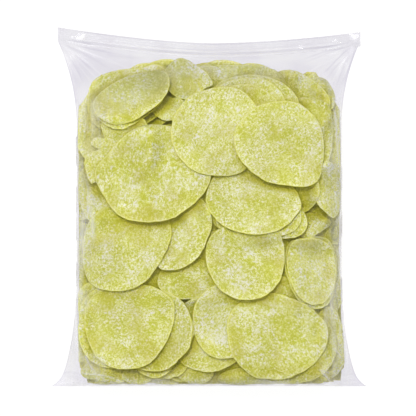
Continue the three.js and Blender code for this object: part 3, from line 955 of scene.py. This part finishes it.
class Nodes:
    """A short way to build a material's node tree."""

    def __init__(self, name):
        self.material = bpy.data.materials.new(name)
        self.material.use_nodes = True
        self.tree = self.material.node_tree
        self.tree.nodes.clear()

    def add(self, kind, inputs=None, **settings):
        node = self.tree.nodes.new(kind)
        for key, value in settings.items():
            setattr(node, key, value)
        for key, value in (inputs or {}).items():
            if isinstance(value, bpy.types.NodeSocket):
                self.tree.links.new(value, node.inputs[key])
            else:
                node.inputs[key].default_value = value
        return node

    def attribute(self, name, output="Fac"):
        return self.add("ShaderNodeAttribute", attribute_name=name).outputs[output]

    def total(self, *parts):
        """The sum of sockets, each times its weight."""
        result = None
        for socket, weight in parts:
            part = self.times(socket, weight)
            result = part if result is None else self.math("ADD", result, part)
        return result

    def fade(self, value, none, full):
        """0 where the value is at none, and 1 where it is at full."""
        inputs = {"Value": value, "From Min": none, "From Max": full}
        return self.add("ShaderNodeMapRange", inputs, interpolation_type="SMOOTHSTEP").outputs[0]

    def ramp(self, value, *stops):
        """Colours along a value that ends at the last stop."""
        last = stops[-1][0]
        node = self.add("ShaderNodeValToRGB", {"Fac": self.math("DIVIDE", value, last)})
        elements = node.color_ramp.elements
        while len(elements) < len(stops):
            elements.new(0.5)
        for element, (place, colour) in zip(elements, stops):
            element.position = place / last
            element.color = (*colour, 1)
        return node.outputs["Color"]

    def math(self, operation, a, b=0.0):
        return self.add("ShaderNodeMath", {0: a, 1: b}, operation=operation).outputs[0]

    def times(self, a, b):
        return self.math("MULTIPLY", a, b)

    def mix(self, factor, a, b, blend="MIX"):
        a, b = (c if isinstance(c, bpy.types.NodeSocket) else (*c, 1) for c in (a, b))
        inputs = {0: factor, 6: a, 7: b}
        return self.add("ShaderNodeMix", inputs, data_type="RGBA", blend_type=blend).outputs[2]

    def noise(self, place, scale, detail=2.0, rough=0.5, warp=0.0):
        inputs = {"Vector": place, "Scale": scale, "Detail": detail}
        inputs |= {"Roughness": rough, "Distortion": warp}
        return self.add("ShaderNodeTexNoise", inputs).outputs["Fac"]

    def stretched(self, place, scale):
        return self.add("ShaderNodeMapping", {"Vector": place, "Scale": scale}).outputs[0]

    def blend(self, factor, a, b):
        """Shader a, with a share of shader b."""
        inputs = {"Fac": factor, 1: a.outputs[0], 2: b.outputs[0]}
        return self.add("ShaderNodeMixShader", inputs)

    def output(self, shader):
        self.add("ShaderNodeOutputMaterial", {"Surface": shader.outputs[0]})
        return self.material


def papad_material():
    nodes = Nodes("papad")
    grain = nodes.attribute("grain", "Vector")
    tone = nodes.attribute("tone")
    inward = nodes.attribute("inward")

    def spots(scale, radius, soft, share):
        """Round spots in some of the cells, 1 in their middle."""
        inputs = {"Vector": grain, "Scale": scale, "Randomness": 1.0}
        node = nodes.add("ShaderNodeTexVoronoi", inputs, feature="F1")
        near = nodes.fade(node.outputs["Distance"], (radius + soft) * scale, radius * scale)
        pick = nodes.add("ShaderNodeSeparateColor", {"Color": node.outputs["Color"]}).outputs[0]
        return nodes.times(near, nodes.math("LESS_THAN", pick, share))

    clouds = nodes.noise(grain, 0.05, 2.0, 0.5, 0.8)
    patches = nodes.noise(grain, 0.22, 2.0, 0.6, 0.5)
    fine = nodes.noise(grain, 0.65, 2.0, 0.7, 0.6)
    grit = nodes.fade(nodes.noise(grain, 1.0, 1.0), 0.56, 0.7)
    drawn = nodes.noise(nodes.stretched(grain, (0.3, 1.1, 1)), 1.0, 1.0, 0.5, 0.3)
    streaks = nodes.fade(drawn, 0.55, 0.72)
    grainy = nodes.fade(nodes.noise(grain, 0.07, 2.0, 0.6, 0.5), 0.3, 0.68)
    specks = nodes.times(nodes.math("SUBTRACT", fine, 0.5), grainy)
    pale = nodes.total(
        (clouds, 0.9), (patches, 0.45), (fine, 1.35), (specks, 1.4), (grainy, 0.06), (streaks, 0.2),
        (tone, 0.1), (spots(0.2, 0.4, 0.6, 0.6), 0.3), (grit, 0.16)
    )
    colour = nodes.ramp(
        pale,
        (1.15, srgb(198, 200, 56)),
        (1.39, srgb(218, 220, 106)),
        (1.65, srgb(239, 240, 178)),
        (1.93, srgb(253, 253, 234)),
    )
    yellow = nodes.fade(nodes.noise(grain, 0.045, 1.0), 0.52, 0.68)
    for places, share, stain in (
        (yellow, 0.4, srgb(200, 193, 76)),
        (spots(0.03, 1.5, 4, 0.3), 0.5, srgb(212, 207, 62)),
        (spots(0.036, 0.3, 0.9, 0.25), 0.7, srgb(160, 112, 32)),
    ):
        colour = nodes.mix(nodes.times(places, share), colour, stain)
    # Painted highlight: paler towards the rim, partly the thin edge's own paler colour, partly light
    # catching it
    rim = nodes.times(nodes.fade(inward, 1.7, 0.6), nodes.times(patches, 0.95))
    colour = nodes.mix(rim, colour, srgb(252, 252, 190))
    # Painted light: the rim's side wall is tinted a saturated yellow, standing in for light through
    # the thin edge in its shade
    colour = nodes.mix(nodes.fade(inward, 0.52, 0.2), colour, srgb(232, 230, 84))
    # Painted shade: darker, more olive colour deep in the gaps between papads
    colour = nodes.mix(nodes.attribute("painted_gap_shade"), colour, (0.74, 0.7, 0.2), "MULTIPLY")
    height = nodes.total((fine, 1.0), (patches, 1.6))
    bump = nodes.add("ShaderNodeBump", {"Height": height, "Strength": 0.55, "Distance": 0.0009})
    shader = nodes.add(
        "ShaderNodeBsdfPrincipled",
        {
            "Base Color": colour,
            "Roughness": 0.42,
            "Subsurface Weight": 0.85,
            "Subsurface Radius": (1.0, 0.95, 0.2),
            "Subsurface Scale": 0.002,
            "Specular IOR Level": 0.45,
            "Normal": bump.outputs["Normal"],
        },
    )
    through = nodes.add("ShaderNodeBsdfTranslucent", {"Color": (0.85, 0.85, 0.1, 1)})
    return nodes.output(nodes.blend(0.12, shader, through))


FILM_TINTS = (0.875, 0.865, 0.898), (0.915, 0.91, 0.925)
ZIP_TINTS = (0.92, 0.91, 0.94), (0.95, 0.945, 0.965)
FOLD_PAINTED_HIGHLIGHT = 0.26  # how strong the pale veil painted on a light fold is, as painted highlight
# How much a dark fold's tint is darkened, as painted shade
FOLD_PAINTED_SHADE = 0.5
SHINE_POWER = 4.5  # how soon the film's shine falls off from its edge-on parts
SHINE_MOST = 0.7


def film_material(name, tints, veil, roughness, mirror):
    """Clear film: tinted see-through, with a pale veil painted as highlight at its light folds and
    as sheen at its sides, and a darker tint painted as shade at its dark folds.
    """
    nodes = Nodes(name)
    place = nodes.add("ShaderNodeTexCoord").outputs["Object"]
    painted_light_and_shade = nodes.attribute("painted_light_and_shade")
    cloudy = nodes.fade(nodes.noise(nodes.stretched(place, (30, 30, 30)), 1.0), 0.35, 0.65)
    tint = nodes.mix(cloudy, *tints)
    # Painted shade: the tint darkens where the painted value is below 0
    painted_shade_amount = nodes.math("MAXIMUM", nodes.times(painted_light_and_shade, -1.0), 0.0)
    tint = nodes.mix(nodes.times(painted_shade_amount, FOLD_PAINTED_SHADE), tint, (0.7, 0.68, 0.76))
    clear = nodes.add("ShaderNodeBsdfTransparent", {"Color": tint})
    drawn = nodes.noise(nodes.stretched(place, (260, 18, 60)), 1.0, 1.0)
    streaks = nodes.fade(drawn, 0.35, 0.7)
    uneven = nodes.total((streaks, 1.2), (cloudy, 0.8))
    # Painted sheen: a pale veil from the sheen attribute, made uneven
    painted_sheen = nodes.times(nodes.attribute("painted_sheen"), uneven)
    # Painted highlight: a pale veil where the painted value is above 0
    light = nodes.times(nodes.math("MAXIMUM", painted_light_and_shade, 0.0), FOLD_PAINTED_HIGHLIGHT)
    amount = nodes.math("ADD", nodes.math("ADD", painted_sheen, light), veil)
    pale = nodes.add("ShaderNodeBsdfDiffuse", {"Color": (0.88, 0.87, 0.92, 1)})
    gloss = nodes.add("ShaderNodeBsdfGlossy", {"Color": (1, 1, 1, 1), "Roughness": roughness})
    facing = nodes.add("ShaderNodeLayerWeight", {"Blend": 0.5}).outputs["Facing"]
    shine = nodes.total((nodes.math("POWER", facing, SHINE_POWER), SHINE_MOST))
    shine = nodes.math("ADD", shine, mirror)
    return nodes.output(nodes.blend(shine, nodes.blend(amount, clear, pale), gloss))


def floor_material():
    """A white sheet that glows a little, so that shadows on it stay faint."""
    nodes = Nodes("floor")
    white = {"Base Color": (0.1, 0.1, 0.1, 1), "Roughness": 0.9}
    glow = {"Emission Color": (1, 1, 1, 1), "Emission Strength": 0.93}
    return nodes.output(nodes.add("ShaderNodeBsdfPrincipled", white | glow))


# ---------------- the stage
SENSOR = 36
FLOOR_HALF = 2.5  # in metres, as are the lights' places and sizes
WORLD_LIGHT = 0.31
# Lights: place, the height of what they aim at, size, watts, and whether they are seen mirrored
LIGHTS = {
    "soft": ((-0.1, 0.1, 1.9), 0, (1.5, 1.3), 18, False),
    "key": ((-0.25, 0.5, 1.93), 0, (0.3, 0.3), 21, False),
    "back": ((-0.3, 0.95, 1.0), 0.03, (0.6, 0.2), 1.0, True),
    "left": ((-1.15, 0, 0.8), 0.03, (1.0, 0.3), 1.2, True),
    "right": ((1.15, 0, 0.8), 0.03, (1.0, 0.3), 1.2, True),
    "spark_left": ((-0.7, 0.5, 1.3), 0.03, (0.1, 0.1), 0.7, True),
    "spark_right": ((0.6, 0.7, 1.2), 0.03, (0.1, 0.1), 0.7, True),
}


def camera():
    data = bpy.data.cameras.new("camera")
    data.sensor_width = SENSOR
    data.lens = SENSOR * VIEW_DISTANCE / (PHOTO_SIDE * MM_PER_PIXEL)
    data.clip_end = 100
    thing = in_scene("camera", data)
    thing.location = Vector((*VIEW_MIDDLE, MIDDLE_Z + VIEW_DISTANCE)) * MM
    bpy.context.scene.camera = thing


def area_light(name, at, aim_z, size, power, glossy):
    data = bpy.data.lights.new(name, "AREA")
    data.shape = "RECTANGLE"
    data.size, data.size_y = size
    data.energy = power
    thing = in_scene(name, data)
    thing.location = at
    thing.visible_glossy = glossy
    thing.rotation_euler = (Vector((0, 0, aim_z)) - Vector(at)).to_track_quat("-Z", "Y").to_euler()


def stage():
    corners = [(x * FLOOR_HALF, y * FLOOR_HALF, 0) for x, y in ((-1, -1), (1, -1), (1, 1), (-1, 1))]
    mesh = bpy.data.meshes.new("floor")
    mesh.from_pydata(corners, [], [(0, 1, 2, 3)])
    mesh.materials.append(floor_material())
    floor = in_scene("floor", mesh)
    world = bpy.data.worlds.new("world")
    world.use_nodes = True
    background = world.node_tree.nodes["Background"]
    background.inputs["Color"].default_value = (1, 1, 1, 1)
    background.inputs["Strength"].default_value = WORLD_LIGHT
    bpy.context.scene.world = world
    bpy.context.scene.view_settings.view_transform = "Standard"
    for name, light in LIGHTS.items():
        area_light(name, *light)


def main():
    camera()
    stage()
    heap, inside, front = lay_heap()
    papad = papad_material()
    pieces = [
        (papad_piece("papads_front", heap, front, FRONT_MESH, papad), "papad"),
        (papad_piece("papads_inside", heap, inside, INSIDE_MESH, papad), "papad"),
    ]
    clear = film_material("film", FILM_TINTS, veil=0.006, roughness=0.2, mirror=0.02)
    film = film_piece(heap, clear)
    pressed = film_material("zip", ZIP_TINTS, veil=0.03, roughness=0.04, mirror=0.12)
    zipper = zip_piece(pressed)
    pieces += [(film, "film"), (zipper, "zip")]
    for piece, slot in pieces:
        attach(piece, "root")
    for piece in (pieces[0][0], pieces[1][0], film):
        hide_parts("bag")
    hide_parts("zip_strip")


main()
